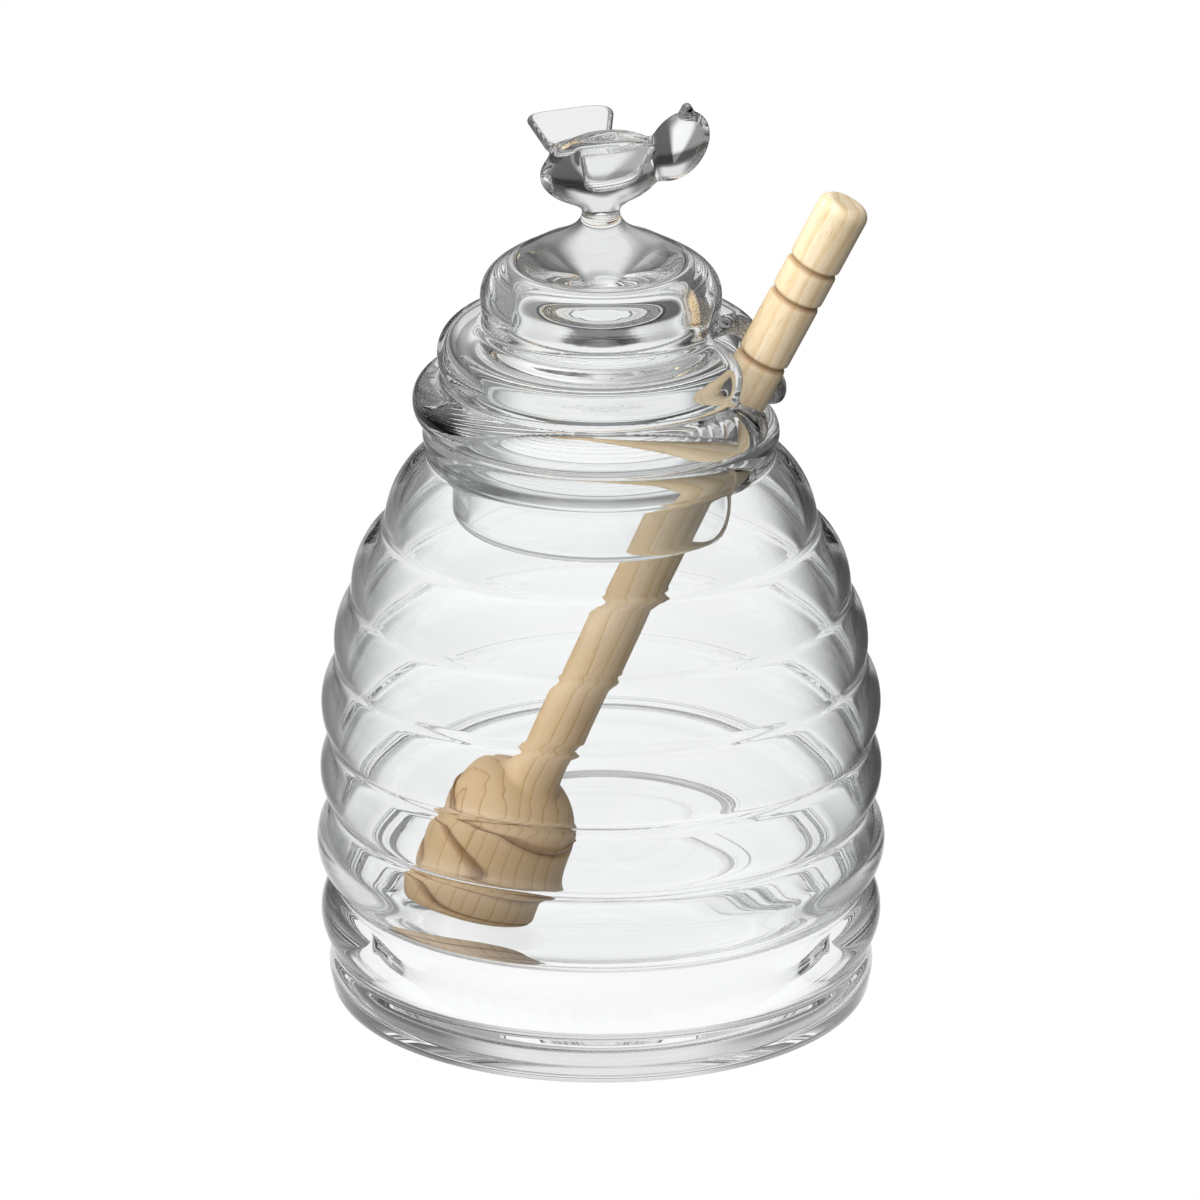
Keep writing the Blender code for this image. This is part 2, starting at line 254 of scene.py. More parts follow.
def paleWoodMaterial(place, s):  # bare turned beech: pale and matt, with darker pores and faint year rings
    material = bpy.data.materials.new("turnedBeech")
    material.use_nodes = True
    tree = material.node_tree
    shader = tree.nodes["Principled BSDF"]
    soft = {"interpolation_type": "SMOOTHSTEP"}
    where = addNode(tree, "ShaderNodeTexCoord").outputs["Object"]
    start = addNode(
        tree, "ShaderNodeVectorMath", {"operation": "SUBTRACT"}, {1: place.translation}, {0: where},
    )
    own = addNode(tree, "ShaderNodeCombineXYZ")  # the same spot in the dipper's own frame, in millimetres
    for k, row in enumerate(place.to_3x3().inverted()):
        axis = addNode(
            tree, "ShaderNodeVectorMath", {"operation": "DOT_PRODUCT"}, {1: row / mm},
            {0: start.outputs[0]},
        )
        tree.links.new(axis.outputs["Value"], own.inputs[k])  # the last of the three runs up the stick
    grain = {}
    for name, (often, detail, low, high) in s["grain"].items():
        stretched = addNode(
            tree, "ShaderNodeVectorMath", {"operation": "MULTIPLY"}, {1: often}, {0: own.outputs[0]},
        )
        noise = addNode(
            tree, "ShaderNodeTexNoise", values={"Scale": 1.0, "Detail": detail, "Roughness": 0.6},
            links={"Vector": stretched.outputs[0]},
        )
        kind = {} if name == "wave" else soft
        grain[name] = addNode(
            tree, "ShaderNodeMapRange", kind, {"From Min": low, "From Max": high},
            {"Value": noise.outputs[0]},
        ).outputs[0]

    fromPith = addNode(
        tree, "ShaderNodeVectorMath", {"operation": "SUBTRACT"}, {1: s["pith"]}, {0: own.outputs[0]},
    )
    flat = addNode(
        tree, "ShaderNodeVectorMath", {"operation": "MULTIPLY"}, {1: (1.0, 1.0, s["alongPith"])},
        {0: fromPith.outputs[0]},
    )
    reach = addNode(tree, "ShaderNodeVectorMath", {"operation": "LENGTH"}, links={0: flat.outputs[0]})
    wave = addNode(
        tree, "ShaderNodeMath", {"operation": "MULTIPLY"}, {1: s["ringWave"]}, {0: grain["wave"]},
    )
    wavy = addNode(
        tree, "ShaderNodeMath", {"operation": "ADD"}, links={0: reach.outputs["Value"], 1: wave.outputs[0]},
    )
    rings = addNode(
        tree, "ShaderNodeMath", {"operation": "DIVIDE"}, {1: s["ringWidth"]}, {0: wavy.outputs[0]},
    )
    ring = addNode(tree, "ShaderNodeMath", {"operation": "FRACT"}, links={0: rings.outputs[0]})
    late = addNode(
        tree, "ShaderNodeMapRange", soft, {"From Min": s["late"][0], "From Max": s["late"][1]},
        {"Value": ring.outputs[0]},
    )
    lowest, highest, strength = s["heart"]
    up = addNode(tree, "ShaderNodeSeparateXYZ", links={0: own.outputs[0]})
    heart = addNode(
        tree, "ShaderNodeMapRange", soft,
        {"From Min": lowest, "From Max": highest, "To Min": strength, "To Max": 0.0},
        {"Value": up.outputs["Z"]},
    )
    edge = addNode(
        tree, "ShaderNodeMapRange", soft, {"From Min": s["ringEdge"][0], "From Max": s["ringEdge"][1]},
        {"Value": ring.outputs[0]},
    )
    line = addNode(
        tree, "ShaderNodeMath", {"operation": "MULTIPLY"}, links={0: edge.outputs[0], 1: heart.outputs[0]},
    )
    scored = addNode(tree, "ShaderNodeAttribute", {"attribute_name": "groove"})
    colour = addNode(
        tree, "ShaderNodeMix", {"data_type": "RGBA"}, {6: linear(s["earlyWood"]), 7: linear(s["lateWood"])},
        {0: late.outputs[0]},
    )
    for mask, (tone, share) in (
        (grain["fibre"], s["fibre"]), (grain["blotch"], s["blotch"]), (grain["pores"], s["pores"]),
        (heart.outputs[0], (s["heartWood"], 1.0)), (line.outputs[0], s["ringLine"]),
        (scored.outputs["Fac"], s["groove"]),
    ):
        amount = addNode(tree, "ShaderNodeMath", {"operation": "MULTIPLY"}, {1: share}, {0: mask})
        colour = addNode(
            tree, "ShaderNodeMix", {"data_type": "RGBA"}, {7: linear(tone)},
            {0: amount.outputs[0], 6: colour.outputs[2]},
        )
    tree.links.new(colour.outputs[2], shader.inputs["Base Color"])
    rough = addNode(
        tree, "ShaderNodeMath", {"operation": "MULTIPLY_ADD"}, {1: s["roughness"][1], 2: s["roughness"][0]},
        {0: grain["fibre"]},
    )
    tree.links.new(rough.outputs[0], shader.inputs["Roughness"])
    shader.inputs["IOR"].default_value = 1.45
    raised = addNode(
        tree, "ShaderNodeMath", {"operation": "MULTIPLY"}, {1: s["fibreRelief"]}, {0: grain["fibre"]},
    )
    relief = addNode(
        tree, "ShaderNodeMath", {"operation": "SUBTRACT"}, links={0: raised.outputs[0], 1: grain["pores"]},
    )
    bump = addNode(
        tree, "ShaderNodeBump", values={"Strength": s["relief"], "Distance": s["reliefDepth"] * mm},
        links={"Height": relief.outputs[0]},
    )
    tree.links.new(bump.outputs[0], shader.inputs["Normal"])
    return material


turning = turningTree()
glass = clearGlassMaterial(glassLook)
print("glass ready")

# Pot
potSizes = {
    "creases": [  # height, radius, how far the rib below it stands out
        (7.9, 38.5, 0.55), (17.7, 38.1, 2.15), (29.0, 38.3, 2.8), (39.2, 38.8, 1.95),
        (50.6, 38.0, 1.9), (60.9, 35.9, 1.3), (71.2, 31.2, 1.5), (82.5, 24.8, 1.6),
    ],
    "wall": (1.8, 0.55),  # the inside is the outside moved in and down by this
    "foot": (39.0, 2.6), "footTurn": (38.3, 36.8),
    "floor": 5.0, "floorFlat": 20.0,  # the inside is a round-bottomed bowl
    "heel": (32.0, 24.5), "heelPull": 3.0,  # the radius that it bends at, the height that it ends at
    "rim": (24.3, 85.5, 1.3, 2.0),
    "creaseSoftness": 1.2, "edgeSoftness": 0.4,
    "spacing": 0.42, "bend": 0.012, "longest": 3.0,
    "stepsRound": 208,
}


def potLine(s):
    creases = s["creases"]
    stops = [(r, z) for z, r, rise in reversed(creases)]
    outer = [stops[0]]
    for start, end, row in zip(stops, stops[1:], reversed(creases)):
        outer += ribPoints(start, end, row[2], 32)
    outer += ribPoints(stops[-1], s["foot"], creases[0][2], 12)
    ribbed = softened(outer, s["creaseSoftness"], 0.1)
    bendR, heelZ = s["heel"]
    inside = ribbed - np.array(s["wall"])
    inside = inside[(inside[:, 1] > heelZ) & (inside[:, 1] < creases[-1][0] - 0.4)][::-1]
    heel = tuple(inside[0])
    inner = [(0.0, s["floor"]), (s["floorFlat"], s["floor"])]
    fall = inside[0] - inside[6]
    turn = tuple(inside[0] + fall / np.linalg.norm(fall) * s["heelPull"])
    inner += sweepPoints(inner[-1], (bendR, s["floor"]), turn, heel, 24)
    inner += [tuple(p) for p in inside]
    rimR, rimZ, halfW, halfH = s["rim"]
    rim = ringPoints((rimR, rimZ), halfW, halfH, 200, -40, 40)
    foot, (turnR, restR) = s["foot"], s["footTurn"]
    base = sweepPoints(foot, (foot[0] - 0.15, 1.0), (turnR, 0.0), (restR, 0.0), 16)
    base.append((0.0, 0.0))
    return softened(inner + rim + [tuple(p) for p in ribbed] + base, s["edgeSoftness"], 0.1)


potFine = evenPoints(potLine(potSizes), potSizes["spacing"])
potFine = thinned(potFine, potSizes["bend"], potSizes["longest"])
pot = turnedPiece("potGlass", potFine * mm, potSizes["stepsRound"], glass)
print("pot turned,", len(potFine), "points in its profile,", len(pot.data.polygons), "faces")

# Dipper
dipperSizes = {
    "length": 126.5, "lean": 26.6, "azimuth": -8.0, "foot": 21.3, "floorGap": 0.3,
    "stick": 3.8, "stickEnd": (1.5, 1.6), "head": 10.0, "headLength": 25.5, "footRounding": 3.2,
    "grooveDepth": 0.75, "grooveHalf": 0.55,
    "stickGrooves": [10.7, 16.3, 26.9], "headGrooves": [4.3, 9.3, 14.1, 19.0],
    "grooveSoft": 0.25, "edgeSoftness": 0.3, "spacing": 0.25,
    "stepsRound": 96,
}


def dipperLine(s):
    stick, head, long = s["stick"], s["head"], s["headLength"]
    half, deep = s["grooveHalf"], s["grooveDepth"]
    endR, endZ = s["stickEnd"]
    points = [(0.0, s["length"])]
    points += ringPoints((stick - endR, s["length"] - endZ), endR, endZ, 90, 0, 10)
    for depth in s["stickGrooves"]:
        z = s["length"] - depth
        points += [(stick, z + half), (stick - deep, z), (stick, z - half)]
    points.append((stick, long + 2.5))
    neck = (stick + 1.6, long - 0.7)
    points += sweepPoints(points[-1], (stick, long - 0.5), (stick + 0.6, long - 0.4), neck, 8)
    widest = (head - 0.25, long - 7.0)
    points += sweepPoints(neck, (stick + 4.6, long - 1.6), (widest[0] - 0.35, widest[1] + 2.6), widest, 14)
    for z in reversed(s["headGrooves"]):
        points += [(head, z + half), (head - deep, z), (head, z - half)]
    points += sweepPoints(points[-1], (head, 1.2), (head - 1.0, 0.0), (head - s["footRounding"], 0.0), 12)
    points.append((0.0, 0.0))
    return points


dipperPoints = dipperLine(dipperSizes)
dipperFine = evenPoints(softened(dipperPoints, dipperSizes["edgeSoftness"], 0.05), dipperSizes["spacing"])
lean, azimuth = math.radians(dipperSizes["lean"]), math.radians(dipperSizes["azimuth"])
lift = max(r * math.sin(lean) - z * math.cos(lean) for r, z in dipperPoints)
stand = Vector((
    -dipperSizes["foot"] * math.cos(azimuth),
    -dipperSizes["foot"] * math.sin(azimuth),
    potSizes["floor"] + dipperSizes["floorGap"] + lift,
)) * mm
dipperPlace = Matrix.Translation(stand) @ Matrix.Rotation(azimuth, 4, "Z") @ Matrix.Rotation(lean, 4, "Y")
wood = paleWoodMaterial(dipperPlace, woodLook)
dipper = turnedPiece("dipperWood", dipperFine * mm, dipperSizes["stepsRound"], wood)
scored = dipper.data.attributes.new("groove", "FLOAT", "POINT")
scores = [dipperSizes["length"] - depth for depth in dipperSizes["stickGrooves"]]
scores += dipperSizes["headGrooves"]
reachOut = dipperSizes["grooveHalf"] + dipperSizes["grooveSoft"]
for vertex, mark in zip(dipper.data.vertices, scored.data):  # 1 in a groove, 0 beside it
    near = min(abs(vertex.co.z / mm - z) for z in scores)
    mark.value = min(1, max(0, 1 - near / reachOut))
dipper.data.transform(dipperPlace)
print("dipper turned,", len(dipper.data.polygons), "faces")

# Lid, with the bee that stands on it: one piece of glass, so one surface round a field of distances
lidSizes = {
    "seat": 87.8,
    "tierOne": (17.32, 106.2), "tierTwo": (23.49, 97.6), "tierThree": (27.04, 90.5),
    "upperCrease": (16.7, 102.2), "lowerCrease": (22.7, 93.8),
    "neck": (2.6, 119.3), "domeSlope": (8.7, 114.2), "edge": 25.2,
    "skirt": 21.4, "skirtWall": 1.8, "skirtBottom": 73.0,
    "wall": 3.2, "hollowTop": 110.5, "hollowCorner": 3.0, "profileSoftness": 1.0,
    "notchRadius": 7.2, "notchReach": 23.7, "notchAzimuth": -9.5, "notchTop": 102.3, "notchFlare": 5.0,
    "notchTopSoftness": 1.0, "edgeSoftness": 2.2,
    "beeFrom": 116.0, "beeFillet": 1.6,
    "low": (-28, -28, 72), "high": (28, 28, 136), "cell": 0.5, "fineFrom": 117.0,
    "tableR": (-1.5, 30.0), "tableZ": (70.0, 124.5), "tableStep": 0.1,
}
beeSizes = {
    "heading": 8.5, "spot": (-0.15, 0.0, 124.65),
    "bodyPitch": 2.0, "body": (8.6, 4.5, 4.95),
    "ridge": (8.0, 3.0, 4.4), "ridgePlace": (1.0, 0.0, 1.85),
    "head": (3.85, 3.9, 5.6), "headPlace": (11.35, 0.0, 3.05), "headTilt": 36.0, "bodyFillet": 1.2,
    "nose": (0.7, 0.7, 1.1), "nosePlace": (1.2, -1.2), "noseFillet": 2.4, "top": 135.0,
    "wingPitch": 5.0, "wingHeight": 3.9, "wingThickness": 1.5, "wingFillets": (0.9, 0.7),
    # each corner of a wing: how far along the bee, how far across, its rounding
    "farWing": ((-7.4, 0.6, 0.5), (1.6, 0.6, 0.5), (4.6, 16.3, 4.0), (-8.6, 16.3, 2.6)),
    "nearWing": ((-3.4, -1.0, 1.0), (-4.7, -17.2, 3.0), (2.4, -17.2, 4.0), (8.2, -2.6, 2.0)),
}


def lidLine(s):
    t1, t2, t3 = s["tierOne"], s["tierTwo"], s["tierThree"]
    c1, c2 = s["upperCrease"], s["lowerCrease"]
    neck, slope, edge = s["neck"], s["domeSlope"], (s["edge"], s["seat"])
    tiers = [neck]
    tiers += sweepPoints(neck, (neck[0], 116.5), (5.8, 115.5), slope, 24)
    tiers += sweepPoints(slope, (13.5, 111.5), (t1[0], 110.1), t1, 24)
    tiers += sweepPoints(t1, (t1[0], 104.6), (c1[0] + 0.2, 103.2), c1, 12)
    tiers += sweepPoints(c1, (20.0, 102.6), (t2[0], 100.9), t2, 24)
    tiers += sweepPoints(t2, (t2[0], 96.0), (c2[0] + 0.2, 94.8), c2, 12)
    tiers += sweepPoints(c2, (24.6, 94.1), (t3[0], 93.0), t3, 20)
    tiers += sweepPoints(t3, (t3[0], 89.2), (26.5, s["seat"]), edge, 12)
    outside = softened(tiers, s["profileSoftness"], 0.1)
    along = np.gradient(outside, axis=0)
    along /= np.linalg.norm(along, axis=1)[:, None]
    inside = outside + np.column_stack([along[:, 1], -along[:, 0]]) * s["wall"]
    widest = np.argmin(np.hypot(outside[:, 0] - t1[0], outside[:, 1] - t1[1]))
    inside = inside[widest:]
    inside = inside[inside[:, 1] > c2[1]][::-1]
    wall, top, corner = s["skirtWall"], s["hollowTop"], s["hollowCorner"]
    lip = ringPoints((s["skirt"] - wall / 2, s["skirtBottom"] + wall / 2), wall / 2, wall / 2, 0, -180, 16)
    points = [(0.0, neck[1] + 3), (neck[0] + 0.7, neck[1] + 3)] + [tuple(p) for p in outside]
    points += [(s["skirt"], s["seat"])] + lip + [(s["skirt"] - wall, s["seat"])]
    points += [tuple(p) for p in inside]
    shoulder = (inside[-1, 0] - corner, top)
    bends = (inside[-1, 0], top - corner * 0.45), (shoulder[0] + corner * 0.55, top)
    points += sweepPoints(points[-1], *bends, shoulder, 12)
    points.append((0.0, top))
    return softened(points, 0.5, 0.1)


def lineField(line, rangeR, rangeZ, step):  # signed distances to the closed profile on a grid
    ring = np.vstack([line, line[:1]])
    a, b = ring[:-1], ring[1:]
    span = b - a
    length2 = np.maximum((span ** 2).sum(1), 1e-12)
    rs, zs = np.arange(*rangeR, step), np.arange(*rangeZ, step)
    values = np.empty((len(rs), len(zs)))
    for i, r in enumerate(rs):
        p = np.column_stack([np.full(len(zs), abs(r)), zs])
        t = np.clip(((p[:, None] - a) * span).sum(2) / length2, 0, 1)
        gap = p[:, None] - (a + t[..., None] * span)
        distance = np.sqrt((gap[:, :-1] ** 2).sum(2).min(1))
        above = (a[:, 1] > p[:, 1:2]) != (b[:, 1] > p[:, 1:2])
        rise = np.where(span[:, 1] == 0, 1e-12, span[:, 1])
        crossing = a[:, 0] + (p[:, 1:2] - a[:, 1]) * span[:, 0] / rise
        inside = (above & (crossing > p[:, 0:1])).sum(1) % 2 == 1
        values[i] = np.where(inside, -distance, distance)
    return values, rangeR[0], rangeZ[0], step


def readField(table, r, z):  # cubic reading, so the surface it gives is smooth
    values, lowR, lowZ, step = table
    u, v = (r - lowR) / step, (z - lowZ) / step
    i = np.clip(np.floor(u).astype(int), 1, values.shape[0] - 3)
    j = np.clip(np.floor(v).astype(int), 1, values.shape[1] - 3)
    fu, fv = np.clip(u - i, 0, 1), np.clip(v - j, 0, 1)

    def weights(f):
        return (
            (-f + 2 * f ** 2 - f ** 3) / 2, (2 - 5 * f ** 2 + 3 * f ** 3) / 2,
            (f + 4 * f ** 2 - 3 * f ** 3) / 2, (f ** 3 - f ** 2) / 2,
        )
    wu, wv = weights(fu), weights(fv)
    total = np.zeros_like(r)
    for m in range(4):
        for n in range(4):
            total += wu[m] * wv[n] * values[i + m - 1, j + n - 1]
    return total


def joined(a, b, k):  # union with a fillet
    h = np.clip(0.5 + 0.5 * (b - a) / k, 0, 1)
    return b + (a - b) * h - k * h * (1 - h)


def egg(p, place, half, tilt):  # about the distance to an ellipsoid
    q = (p - place) @ tilt
    near = np.linalg.norm(q / half, axis=1)
    steep = np.linalg.norm(q / (np.array(half) ** 2), axis=1)
    return near * (near - 1) / np.maximum(steep, 1e-6)


def plate(p, place, tilt, corners, thickness, softness):  # a flat plate with rounded corners
    q = (p - place) @ tilt
    ring = np.array(corners)
    gaps = []
    for k in range(len(ring)):
        a, b = ring[k], ring[(k + 1) % len(ring)]
        edge = (b - a) / np.linalg.norm(b - a)
        gaps.append((q[:, :2] - a) @ np.array([edge[1], -edge[0]]))
    inset = gaps[0]
    for k in range(1, len(ring)):  # each corner lies between the side before it and the side after it
        inset = -joined(-inset, -gaps[k], softness[k])
    inset = np.maximum(inset, -joined(-gaps[0], -gaps[-1], softness[0]))
    flat = np.abs(q[:, 2]) - thickness / 2
    return -joined(-inset, -flat, thickness * 0.6)


lidTable = lineField(lidLine(lidSizes), lidSizes["tableR"], lidSizes["tableZ"], lidSizes["tableStep"])
print("lid profile measured")


def turnMatrix(heading, pitch):
    turn = Matrix.Rotation(math.radians(heading), 3, "Z")
    return np.array(turn @ Matrix.Rotation(math.radians(-pitch), 3, "Y"))


def beeField(p, s):
    spot = np.array(s["spot"])
    level = turnMatrix(s["heading"], s["bodyPitch"])
    wingLevel = turnMatrix(s["heading"], s["wingPitch"])
    headSpot = spot + level @ np.array(s["headPlace"])
    ridgeSpot = spot + level @ np.array(s["ridgePlace"])
    headTurn = turnMatrix(s["heading"], -s["headTilt"])
    noseX, noseY = headSpot[0] + s["nosePlace"][0], headSpot[1] + s["nosePlace"][1]
    noseSpot = np.array([noseX, noseY, s["top"] - s["nose"][2]])
    shape = egg(p, spot, s["body"], level)
    shape = joined(shape, egg(p, ridgeSpot, s["ridge"], level), s["bodyFillet"])
    shape = joined(shape, egg(p, headSpot, s["head"], headTurn), s["bodyFillet"])
    shape = joined(shape, egg(p, noseSpot, s["nose"], np.eye(3)), s["noseFillet"])
    for wing, fillet in zip((s["farWing"], s["nearWing"]), s["wingFillets"]):
        corners = [(u, v) for u, v, rounding in wing]
        roundings = [rounding for u, v, rounding in wing]
        wingSpot = spot + np.array([0, 0, s["wingHeight"]])
        shape = joined(shape, plate(p, wingSpot, wingLevel, corners, s["wingThickness"], roundings), fillet)
    return shape


def lidField(p):
    s = lidSizes
    r = np.hypot(p[:, 0], p[:, 1])
    glassShape = readField(lidTable, r, p[:, 2])
    a = math.radians(s["notchAzimuth"])
    reach = p[:, 0] * math.cos(a) + p[:, 1] * math.sin(a) - s["notchReach"]
    across = np.abs(-p[:, 0] * math.sin(a) + p[:, 1] * math.cos(a))
    flare = s["notchFlare"]
    drop = np.clip(s["skirtBottom"] + flare - p[:, 2], 0, flare * 0.98)
    widen = flare - np.sqrt(flare ** 2 - drop ** 2)
    bite = np.where(reach > 0, across, np.hypot(reach, across)) - s["notchRadius"] - widen
    bite = -joined(-bite, -(p[:, 2] - s["notchTop"]), s["notchTopSoftness"])
    glassShape = -joined(-glassShape, bite, s["edgeSoftness"])
    high = p[:, 2] > s["beeFrom"]
    if high.any():
        glassShape[high] = joined(glassShape[high], beeField(p[high], beeSizes), s["beeFillet"])
    return glassShape


def netSurface(field, low, high, cell):  # quads along the zero level, a point in each crossed cell
    axes = [np.arange(low[k], high[k] + cell, cell) for k in range(3)]
    size = [len(a) for a in axes]
    values = np.empty(size)
    for i, x in enumerate(axes[0]):
        y, z = np.meshgrid(axes[1], axes[2], indexing="ij")
        values[i] = field(np.column_stack([np.full(y.size, x), y.ravel(), z.ravel()])).reshape(y.shape)
    inside = values < 0
    corner = [(i, j, k) for i in (0, 1) for j in (0, 1) for k in (0, 1)]
    part = [inside[i:size[0] - 1 + i, j:size[1] - 1 + j, k:size[2] - 1 + k] for i, j, k in corner]
    held = sum(part[c].astype(np.int8) for c in range(8))
    crossed = (held > 0) & (held < 8)
    number = np.full(crossed.shape, -1)
    number[crossed] = np.arange(crossed.sum())
    cells = np.argwhere(crossed)
    total = np.zeros((len(cells), 3))
    count = np.zeros(len(cells))
    for m in range(8):
        for n in range(m + 1, 8):
            p, q = np.array(corner[m]), np.array(corner[n])
            if np.abs(p - q).sum() != 1:
                continue
            a = values[tuple((cells + p).T)]
            b = values[tuple((cells + q).T)]
            cross = (a < 0) != (b < 0)
            t = np.where(cross, a / np.where(cross, a - b, 1), 0)
            total[cross] += (p + (q - p) * t[:, None])[cross]
            count += cross
    points = np.array([axes[k][0] for k in range(3)]) + (cells + total / count[:, None]) * cell
    faces = []
    for k in range(3):
        u, v = (k + 1) % 3, (k + 2) % 3
        a = np.argwhere(np.diff(inside.astype(np.int8), axis=k) != 0)
        a = a[(a[:, u] > 0) & (a[:, v] > 0) & (a[:, u] < size[u] - 1) & (a[:, v] < size[v] - 1)]
        start = inside[tuple(a.T)]
        du, dv = np.eye(3, dtype=int)[u], np.eye(3, dtype=int)[v]
        around = (a - du - dv, a - dv, a, a - du)
        quad = np.stack([number[tuple(spot.T)] for spot in around], 1)
        quad[~start] = quad[~start][:, ::-1]
        faces.append(quad)
    return points, np.vstack(faces)


def slope(field, p, h=0.15):
    grad = np.empty_like(p)
    for k in range(3):
        step = np.zeros(3)
        step[k] = h
        grad[:, k] = (field(p + step) - field(p - step)) / (2 * h)
    return grad


def settled(field, p, turns):  # moves points onto the field's zero level
    for turn in range(turns):
        grad = slope(field, p)
        p = p - grad * (field(p) / np.maximum((grad ** 2).sum(1), 0.05))[:, None]
    return p


def fieldPiece(name, field, low, high, cell, fineFrom, material):
    points, quads = netSurface(field, low, high, cell)
    points = settled(field, points, 2)
    mesh = bpy.data.meshes.new(name)
    mesh.from_pydata(points.tolist(), [], quads.tolist())
    shape = bmesh.new()
    shape.from_mesh(mesh)
    fine = [edge for edge in shape.edges if min(edge.verts[0].co.z, edge.verts[1].co.z) > fineFrom]
    bmesh.ops.subdivide_edges(shape, edges=fine, cuts=1, use_grid_fill=True)
    shape.to_mesh(mesh)
    shape.free()
    points = np.empty(len(mesh.vertices) * 3, np.float32)
    mesh.vertices.foreach_get("co", points)
    points = settled(field, points.reshape(-1, 3).astype(float), 3)
    mesh.vertices.foreach_set("co", (points * mm).astype(np.float32).ravel())
    mesh.update()
    mesh.materials.append(material)
    piece = bpy.data.objects.new(name, mesh)
    bpy.context.scene.collection.objects.link(piece)
    mesh.shade_smooth()
    grad = slope(field, points)
    mesh.normals_split_custom_set_from_vertices((grad / np.linalg.norm(grad, axis=1)[:, None]).tolist())
    return piece


lid = fieldPiece(
    "lidGlass", lidField, lidSizes["low"], lidSizes["high"], lidSizes["cell"], lidSizes["fineFrom"], glass,
)
lid.data.calc_loop_triangles()
print("lid made,", len(lid.data.polygons), "faces,", len(lid.data.loop_triangles), "triangles")

pieces = ((pot, "pot", "clear_glass"), (lid, "lid", "clear_glass"), (dipper, "dipper", "pale_wood"))
for piece, node, slotName in pieces:
    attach(piece, "root")
    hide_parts(node)

# Stage: a white floor that ends in a grey room, so that the glass has something dark to bend into view
studio = {
    "floorHalf": 6.0, "floorLift": -0.00005,  # a hair below the foot, so that its underside mirrors
    # a painted pool of light on the glowing paper: it is white up to here, grey from there, and this bright
    # beyond
    "whiteTo": 0.42, "greyFrom": 0.70, "far": 0.25,
    # and near the pot painted shade darkens it towards its sides and its front
    "paintedShade": [("X", -0.036, -0.085, 0.32), ("X", 0.036, 0.072, 0.11), ("Y", -0.038, -0.06, 0.2)],
    # how bright the room is in directions this far up or down
    "levels": [(-1, 0.5), (-0.3, 0.33), (0.0, 0.15), (0.25, 0.25), (0.5, 0.5), (0.8, 1.0)],
    "sides": (1.3, 0.6), "sideRange": (-0.5, 0.6),
    # white between these directions
    "backdrop": [("Y", 0.35, 0.75), ("X", 0.45, 0.2), ("Z", 0.0, 0.12), ("Z", 0.65, 0.45)],
    # the side that the soft light on the wood comes from, how wide it is, how bright, and the paper's share
    "lamp": (-0.75, -0.45, 0.6), "lampRange": (-0.05, 1.0), "woodLight": (0.12, 4.2), "woodFloor": 0.22,
}


def stageFloor(s):
    half, low = s["floorHalf"], s["floorLift"]
    mesh = bpy.data.meshes.new("floor")
    corners = [(-half, -half, low), (half, -half, low), (half, half, low), (-half, half, low)]
    mesh.from_pydata(corners, [], [(0, 1, 2, 3)])
    floor = bpy.data.objects.new("floor", mesh)
    bpy.context.scene.collection.objects.link(floor)
    paper = bpy.data.materials.new("whitePaper")
    paper.use_nodes = True
    tree = paper.node_tree
    tree.nodes.clear()
    spot = addNode(tree, "ShaderNodeTexCoord")
    away = addNode(tree, "ShaderNodeVectorMath", {"operation": "LENGTH"}, links={0: spot.outputs["Object"]})
    across = addNode(tree, "ShaderNodeSeparateXYZ", links={0: spot.outputs["Object"]})
    soft = {"interpolation_type": "SMOOTHSTEP"}
    # painted pool of light: the paper is white near the pot and greyer far off
    fade = addNode(
        tree, "ShaderNodeMapRange", soft,
        {"From Min": s["whiteTo"], "From Max": s["greyFrom"], "To Min": 1.0, "To Max": s["far"]},
        {"Value": away.outputs["Value"]},
    )
    # painted shade on the paper beside and in front of the pot
    for axis, near, out, least in s["paintedShade"]:
        side = addNode(
            tree, "ShaderNodeMapRange", soft,
            {"From Min": near, "From Max": out, "To Min": 1.0, "To Max": least},
            {"Value": across.outputs[axis]},
        )
        fade = addNode(
            tree, "ShaderNodeMath", {"operation": "MULTIPLY"},
            links={0: fade.outputs[0], 1: side.outputs[0]},
        )
    seen = addNode(tree, "ShaderNodeLightPath")
    scattered = addNode(
        tree, "ShaderNodeMix", {"data_type": "FLOAT"}, {3: s["woodFloor"]},
        {0: seen.outputs["Diffuse Depth"], 2: fade.outputs[0]},
    )
    level = addNode(
        tree, "ShaderNodeMix", {"data_type": "FLOAT"}, {3: 1.0},
        {0: seen.outputs["Is Camera Ray"], 2: scattered.outputs[0]},
    )
    glow = addNode(tree, "ShaderNodeEmission", links={"Strength": level.outputs[0]})
    addNode(tree, "ShaderNodeOutputMaterial", links={"Surface": glow.outputs[0]})
    mesh.materials.append(paper)


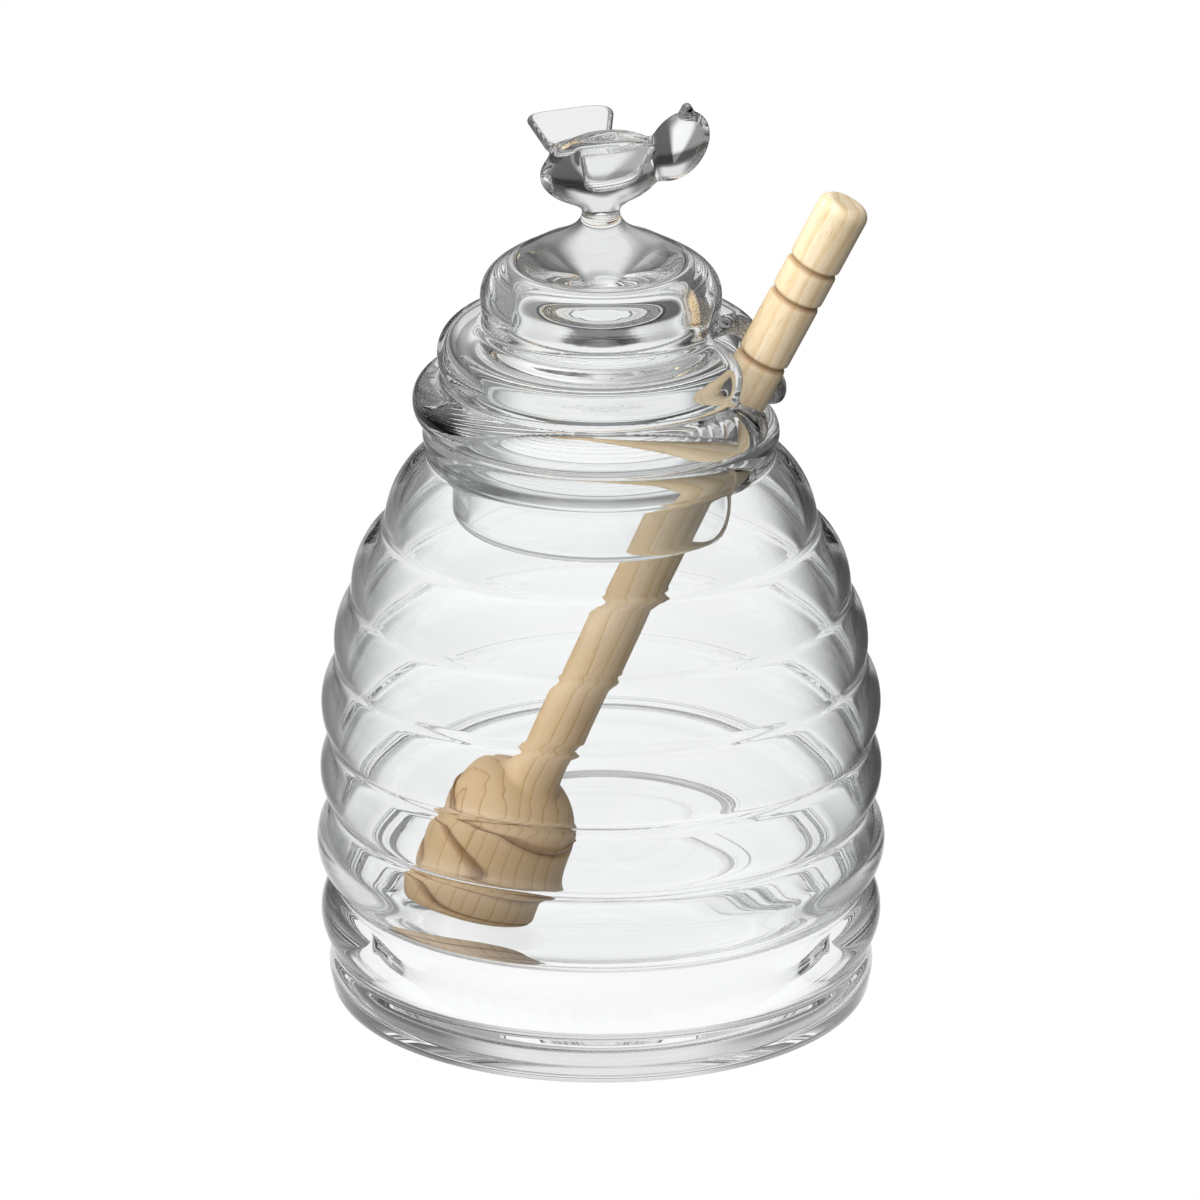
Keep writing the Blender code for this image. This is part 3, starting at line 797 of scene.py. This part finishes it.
def studioWorld(s):
    world = bpy.data.worlds.new("studio")
    bpy.context.scene.world = world
    world.use_nodes = True
    tree = world.node_tree
    tree.nodes.clear()
    soft = {"interpolation_type": "SMOOTHSTEP"}
    where = addNode(tree, "ShaderNodeTexCoord")
    axes = addNode(tree, "ShaderNodeSeparateXYZ", links={0: where.outputs["Generated"]})
    height = addNode(
        tree, "ShaderNodeMapRange", values={"From Min": -1.0}, links={"Value": axes.outputs["Z"]},
    )
    room = addNode(tree, "ShaderNodeValToRGB", links={"Fac": height.outputs[0]})
    room.color_ramp.interpolation = "EASE"
    marks = room.color_ramp.elements
    while len(marks) < len(s["levels"]):
        marks.new(0.5)
    for mark, (z, level) in zip(marks, s["levels"]):
        mark.position = (z + 1) / 2
        mark.color = (level, level, level, 1)
    (left, right), (leftLevel, rightLevel) = s["sideRange"], s["sides"]
    side = addNode(
        tree, "ShaderNodeMapRange", soft,
        {"From Min": left, "From Max": right, "To Min": leftLevel, "To Max": rightLevel},
        {"Value": axes.outputs["X"]},
    )
    both = addNode(
        tree, "ShaderNodeMath", {"operation": "MULTIPLY"},
        links={0: room.outputs[0], 1: side.outputs[0]},
    )
    across = addNode(tree, "ShaderNodeMath", {"operation": "ABSOLUTE"}, links={0: axes.outputs["X"]})
    backdrop = None
    for axis, none, full in s["backdrop"]:
        part = addNode(
            tree, "ShaderNodeMapRange", soft, {"From Min": none, "From Max": full},
            {"Value": across.outputs[0] if axis == "X" else axes.outputs[axis]},
        )
        backdrop = part if backdrop is None else addNode(
            tree, "ShaderNodeMath", {"operation": "MULTIPLY"},
            links={0: backdrop.outputs[0], 1: part.outputs[0]},
        )
    both = addNode(
        tree, "ShaderNodeMix", {"data_type": "FLOAT"}, {3: 1.0},
        {0: backdrop.outputs[0], 2: both.outputs[0]},
    )
    towards = addNode(
        tree, "ShaderNodeVectorMath", {"operation": "DOT_PRODUCT"}, {1: Vector(s["lamp"]).normalized()},
        {0: where.outputs["Generated"]},
    )
    (shy, full), (dim, bright) = s["lampRange"], s["woodLight"]
    lit = addNode(
        tree, "ShaderNodeMapRange", soft,
        {"From Min": shy, "From Max": full, "To Min": dim, "To Max": bright},
        {"Value": towards.outputs["Value"]},
    )
    seen = addNode(tree, "ShaderNodeLightPath")
    scattered = addNode(
        tree, "ShaderNodeMix", {"data_type": "FLOAT"},
        links={0: seen.outputs["Diffuse Depth"], 2: both.outputs[0], 3: lit.outputs[0]},
    )
    level = addNode(
        tree, "ShaderNodeMix", {"data_type": "FLOAT"}, {3: 1.0},
        {0: seen.outputs["Is Camera Ray"], 2: scattered.outputs[0]},
    )
    sky = addNode(tree, "ShaderNodeBackground", links={"Strength": level.outputs[0]})
    addNode(tree, "ShaderNodeOutputWorld", links={"Surface": sky.outputs[0]})


stageFloor(studio)
studioWorld(studio)

scene = bpy.context.scene
scene.view_settings.view_transform = "Standard"
scene.view_settings.look = "None"
scene.cycles.max_bounces = 32
scene.cycles.transmission_bounces = 32
scene.cycles.glossy_bounces = 16
scene.cycles.diffuse_bounces = 3
scene.cycles.use_denoising = True

camera = bpy.data.objects.new("camera", bpy.data.cameras.new("camera"))
scene.collection.objects.link(camera)
elevation, away = math.radians(20.8), 2.4
aim = Vector((-0.000144, 0, 0.0596))
camera.location = aim + Vector((0, -math.cos(elevation), math.sin(elevation))) * away
camera.rotation_euler = (math.pi / 2 - elevation, 0, 0)
camera.data.sensor_width = 36
camera.data.lens = 36 * away / 0.1724
camera.data.clip_end = 20
scene.camera = camera
